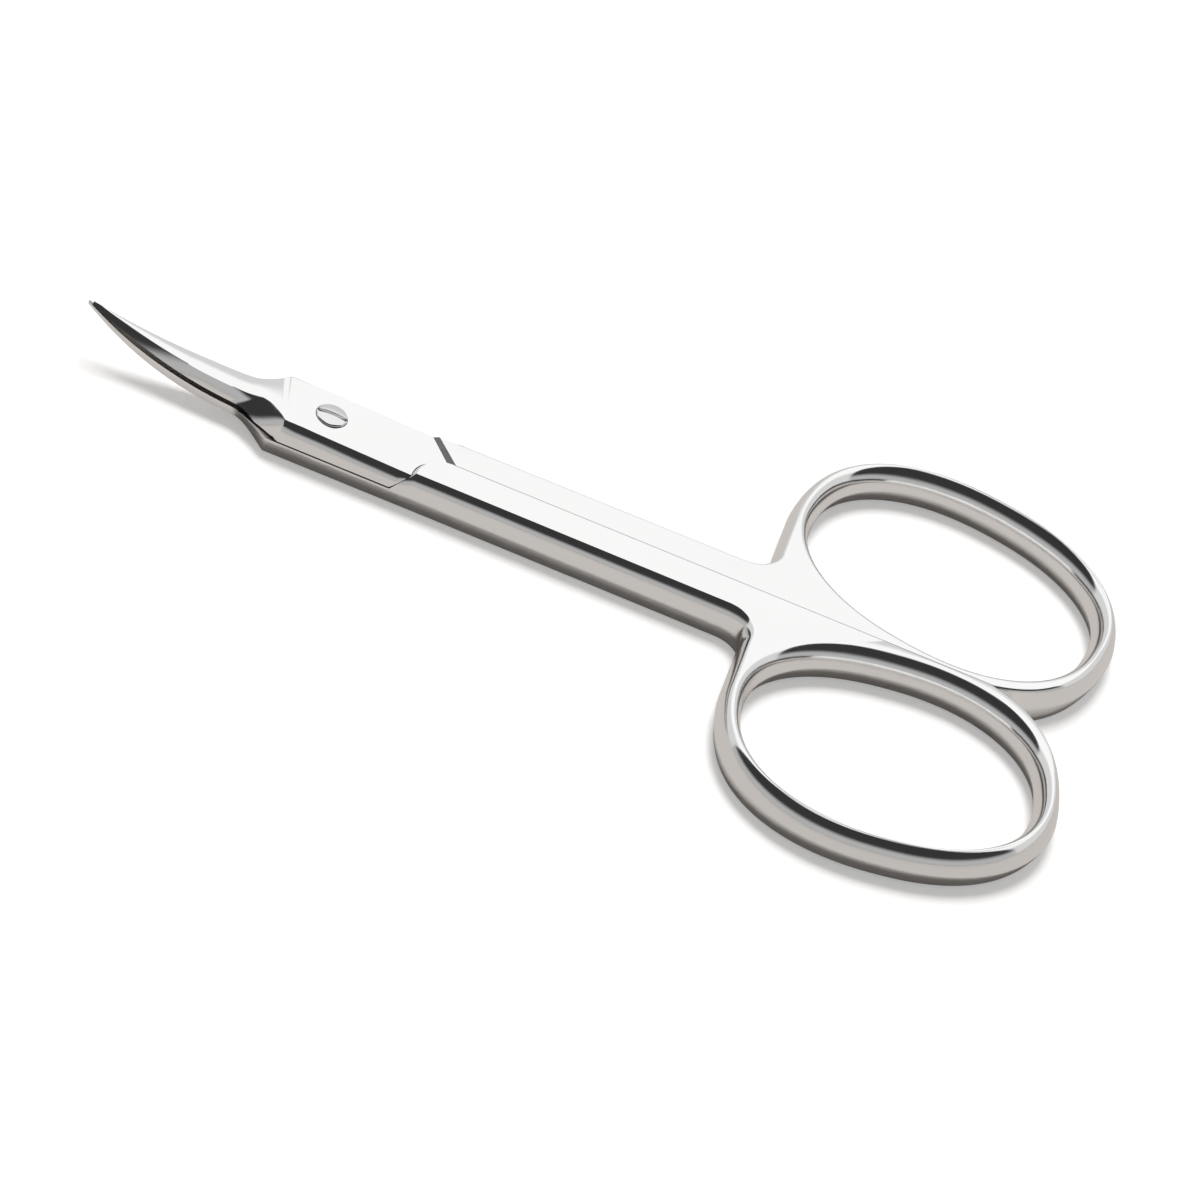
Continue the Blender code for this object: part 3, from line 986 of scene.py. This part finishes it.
# %% Group: waves left by hand grinding
def make_hand_waves():
    """Low, wide waves, as a height from 0 to 1. They bend the reflections a little."""
    group, place, waves_per_metre, result = new_group(
        "Hand-ground waves", "Waves per metre", 230.0, "Height"
    )
    inputs = {"Vector": place, "Scale": waves_per_metre, "Detail": 1, "Roughness": 0.4}
    feed(group, add_node(group, "ShaderNodeTexNoise", inputs, "Fac"), result)
    return group


hand_waves = make_hand_waves()
print("group:", hand_waves.name)

# %% [markdown]
# ## The steel itself
#
# The Principled shader at full metallic does the mirror. The clouds and the belt lines move its
# roughness by small steps, and the waves and the lines tilt the surface by a hair through two Bump
# nodes. The masks on the faces choose the tone: polished steel, a tone of its own for worn edges,
# and a greyer, rougher finish for the ground faces inside the joint.

# %% Make a steel
WORN_STEEL = (0.92, 0.92, 0.91)
GROUND_STEEL = (0.42, 0.41, 0.4)
GROUND_ROUGHNESS = 0.22
CLOUD_ROUGHNESS = 0.05
LINE_ROUGHNESS = 0.04
WAVE_HEIGHT = 0.00003
LINE_HEIGHT = 0.00001


def face_mask(tree, name):
    return add_node(tree, "ShaderNodeAttribute", {}, "Fac", attribute_name=name)


def make_steel(name, colour, roughness, line_strength):
    material = bpy.data.materials.new(name)
    material.use_nodes = True
    tree = material.node_tree
    shader = tree.nodes["Principled BSDF"]
    shader.inputs["Metallic"].default_value = 1
    ground = face_mask(tree, "ground_face")
    place = {"Vector": add_node(tree, "ShaderNodeTexCoord", {}, "Object")}
    lines = add_node(tree, "ShaderNodeGroup", place, "Mask", node_tree=belt_lines)
    marks = add_node(tree, "ShaderNodeGroup", place, "Mask", node_tree=handling_marks)
    waves = add_node(tree, "ShaderNodeGroup", place, "Height", node_tree=hand_waves)

    polished = add_mix(tree, face_mask(tree, "worn_edge"), (*colour, 1), (*WORN_STEEL, 1), "RGBA")
    tone = add_mix(tree, ground, polished, (*GROUND_STEEL, 1), "RGBA")
    feed(tree, tone, shader.inputs["Base Color"])

    cloudy = add_math(tree, "MULTIPLY_ADD", marks, CLOUD_ROUGHNESS, roughness)
    lined = add_math(tree, "MULTIPLY_ADD", lines, LINE_ROUGHNESS, cloudy)
    matted = add_math(tree, "MULTIPLY_ADD", ground, GROUND_ROUGHNESS, lined)
    feed(tree, matted, shader.inputs["Roughness"])

    wavy = {"Height": waves, "Strength": 1, "Distance": WAVE_HEIGHT}
    bent = add_node(tree, "ShaderNodeBump", wavy, "Normal")
    fine = {"Height": lines, "Strength": line_strength, "Distance": LINE_HEIGHT, "Normal": bent}
    feed(tree, add_node(tree, "ShaderNodeBump", fine, "Normal"), shader.inputs["Normal"])
    return material


# %% Give each piece its steel
HALF_STEEL = (0.94, 0.94, 0.935)
SCREW_STEEL = (0.84, 0.84, 0.84)
POLISH = {"roughness": 0.08, "line_strength": 0.15}
TURNING = {"roughness": 0.1, "line_strength": 0.2}

steels = [
    (upper, make_steel("Polished steel, upper half", HALF_STEEL, **POLISH)),
    (lower, make_steel("Polished steel, lower half", HALF_STEEL, **POLISH)),
    (screw, make_steel("Turned steel, screw", SCREW_STEEL, **TURNING)),
]
for piece, steel in steels:
    piece.data.materials.clear()
    piece.data.materials.append(steel)
print("steels:", [steel.name for _, steel in steels])

# %% [markdown]
# ## The table
#
# The scissors lie on plain white paper. The paper has to keep their soft shadow, so it is an
# ordinary matte surface. A little light of its own, seen by the camera alone, lifts it to a clean
# white without putting more light on the steel. In the reflections it has a darker, warmer tone,
# which the lower bands of the sides show: that tone is painted shade, standing in for the paper
# shadowed next to the scissors.

# %% Lay the white paper
PAPER_SIZE = 6.0
PAPER_TONE = (0.72, 0.712, 0.7)
# Painted shade: the paper seen in reflections is darker and warmer, as if shadowed next to the
# steel.
PAPER_PAINTED_SHADE_IN_METAL = (0.54, 0.51, 0.485)
PAPER_LIFT = 0.33

bpy.ops.mesh.primitive_plane_add(size=PAPER_SIZE, location=(0, 0, cad_low.z))
paper = bpy.context.object
paper.name = "white_paper"
paper_material = bpy.data.materials.new("White paper")
paper_material.use_nodes = True
tree = paper_material.node_tree
matte = tree.nodes["Principled BSDF"]
matte.inputs["Roughness"].default_value = 1
matte.inputs["Specular IOR Level"].default_value = 0
matte.inputs["Emission Color"].default_value = (1, 1, 1, 1)
path = tree.nodes.new("ShaderNodeLightPath").outputs
# Glossy rays see the darker, warmer paper tone, the painted shade; the camera sees the plain tone.
paper_tone_and_painted_shade = ((*PAPER_TONE, 1), (*PAPER_PAINTED_SHADE_IN_METAL, 1))
feed(tree, add_mix(tree, path["Is Glossy Ray"], *paper_tone_and_painted_shade, "RGBA"), matte.inputs["Base Color"])
lift = add_math(tree, "MULTIPLY", path["Is Camera Ray"], PAPER_LIFT)
feed(tree, lift, matte.inputs["Emission Strength"])
paper.data.materials.append(paper_material)
print(f"paper at {cad_low.z * 1000:.2f} mm")

# %% [markdown]
# ## The light tent
#
# Polished steel shows its surroundings, so the surroundings are the look. The far side and the
# roof of the tent are white, and the opening on the camera's side is dark. The flat faces mirror
# the white, and the rolled sides catch the opening as one dark band with a crisp end. Near the
# table the white is a little greyer, and the opening is lighter, because the paper lights it.

# %% Shape the tent by direction
OPENING_ANGLE = math.radians(76)
OPENING_TOP = math.sin(OPENING_ANGLE)
OPENING_BACK = 0.07
OPENING_SOFTNESS = 0.03

world = bpy.data.worlds.new("Light tent")
bpy.context.scene.world = world
world.use_nodes = True
sky = world.node_tree
direction = add_node(sky, "ShaderNodeTexCoord", {}, "Generated")
parts = sky.nodes.new("ShaderNodeSeparateXYZ")
feed(sky, direction, parts.inputs["Vector"])


def soft_step(value, edge):
    """Rises from 0 to 1 as the value passes the edge."""
    ends = (edge - OPENING_SOFTNESS, edge + OPENING_SOFTNESS)
    return add_ramp(sky, value, *ends, shape="SMOOTHSTEP")


above = soft_step(parts.outputs["Z"], OPENING_TOP)
behind = soft_step(parts.outputs["Y"], OPENING_BACK)
white = add_math(sky, "MAXIMUM", above, behind)
print(f"the tent is open on the camera's side, up to {math.degrees(OPENING_ANGLE):.0f} degrees")

# %% Give the tent its light and dark
TENT_WHITE = 1.0
TENT_LOW = 0.68
BRIGHT_FROM = 0.44
BRIGHT_TO = 0.6
TENT_DARK = 0.035
TENT_HORIZON = 0.45
HORIZON_FADES = 0.14
HORIZON_TOP = 0.36
AMBIENT = 0.25

height = parts.outputs["Z"]
opening = add_ramp(sky, height, HORIZON_FADES, HORIZON_TOP, TENT_HORIZON, TENT_DARK, "SMOOTHSTEP")
wall = add_ramp(sky, height, BRIGHT_FROM, BRIGHT_TO, TENT_LOW, TENT_WHITE)
tent = add_ramp(sky, white, 0.0, 1.0, opening, wall)
diffuse_ray = add_node(sky, "ShaderNodeLightPath", {}, "Is Diffuse Ray")
background = sky.nodes["Background"]
background.inputs["Color"].default_value = (1, 1, 1, 1)
feed(sky, add_mix(sky, diffuse_ray, tent, AMBIENT), background.inputs["Strength"])
print(f"tent: white {TENT_WHITE}, opening {TENT_DARK}, {AMBIENT} for matte surfaces")

# %% [markdown]
# ## The lamp
#
# One large soft lamp hangs above and a little behind the scissors, so that their shadow falls
# softly towards the camera, as in a simple product photograph. It is kept out of the reflections,
# because the tent already gives the steel its white.

# %% Hang the lamp
LAMP_DISTANCE = 0.6
LAMP_SIZE = 0.3
LAMP_ELEVATION = math.radians(74)
LAMP_AZIMUTH = math.radians(104)
LAMP_POWER = 3.15

lamp_data = bpy.data.lights.new("Soft lamp", "AREA")
lamp_data.shape = "DISK"
lamp_data.size = LAMP_SIZE
lamp_data.energy = LAMP_POWER
lamp = bpy.data.objects.new("Soft lamp", lamp_data)
bpy.context.scene.collection.objects.link(lamp)
level = math.cos(LAMP_ELEVATION)
towards_lamp = Vector(
    (math.cos(LAMP_AZIMUTH) * level, math.sin(LAMP_AZIMUTH) * level, math.sin(LAMP_ELEVATION))
)
lamp.location = towards_lamp * LAMP_DISTANCE
lamp.rotation_mode = "QUATERNION"
lamp.rotation_quaternion = towards_lamp.to_track_quat("Z", "Y")
lamp.visible_glossy = False
print(f"lamp: {LAMP_POWER} W, {LAMP_SIZE} m wide")

# %% [markdown]
# ## The camera
#
# The photograph was taken from about 40 degrees above the table, from the side, with a long lens,
# and with the camera rolled so that the scissors lie across the picture. The aim is given from the
# pivot.

# %% Set the camera
CAMERA_ELEVATION = math.radians(40)
CAMERA_ROLL = math.radians(22.22)
CAMERA_DISTANCE = 0.74
CAMERA_LENS = 266.4
SENSOR_WIDTH = 36
CLIP_START = 0.01
CLIP_END = 20
AIM_FROM_PIVOT = Vector((0.02673, -0.00904, 0.00193))

camera_data = bpy.data.cameras.new("Camera")
camera_data.lens = CAMERA_LENS
camera_data.sensor_width = SENSOR_WIDTH
camera_data.clip_start = CLIP_START
camera_data.clip_end = CLIP_END
camera = bpy.data.objects.new("Camera", camera_data)
bpy.context.scene.collection.objects.link(camera)
back = Vector((0, -math.cos(CAMERA_ELEVATION), math.sin(CAMERA_ELEVATION)))
level_right = Vector((1, 0, 0))
level_up = back.cross(level_right)
right = level_right * math.cos(CAMERA_ROLL) + level_up * math.sin(CAMERA_ROLL)
up = level_up * math.cos(CAMERA_ROLL) - level_right * math.sin(CAMERA_ROLL)
aim = PIVOT + AIM_FROM_PIVOT
turn = Matrix((right, up, back)).transposed().to_4x4()
camera.matrix_world = Matrix.Translation(aim + back * CAMERA_DISTANCE) @ turn
bpy.context.scene.camera = camera
bpy.context.scene.view_settings.view_transform = "Standard"
print("camera at", tuple(round(value, 3) for value in camera.location))
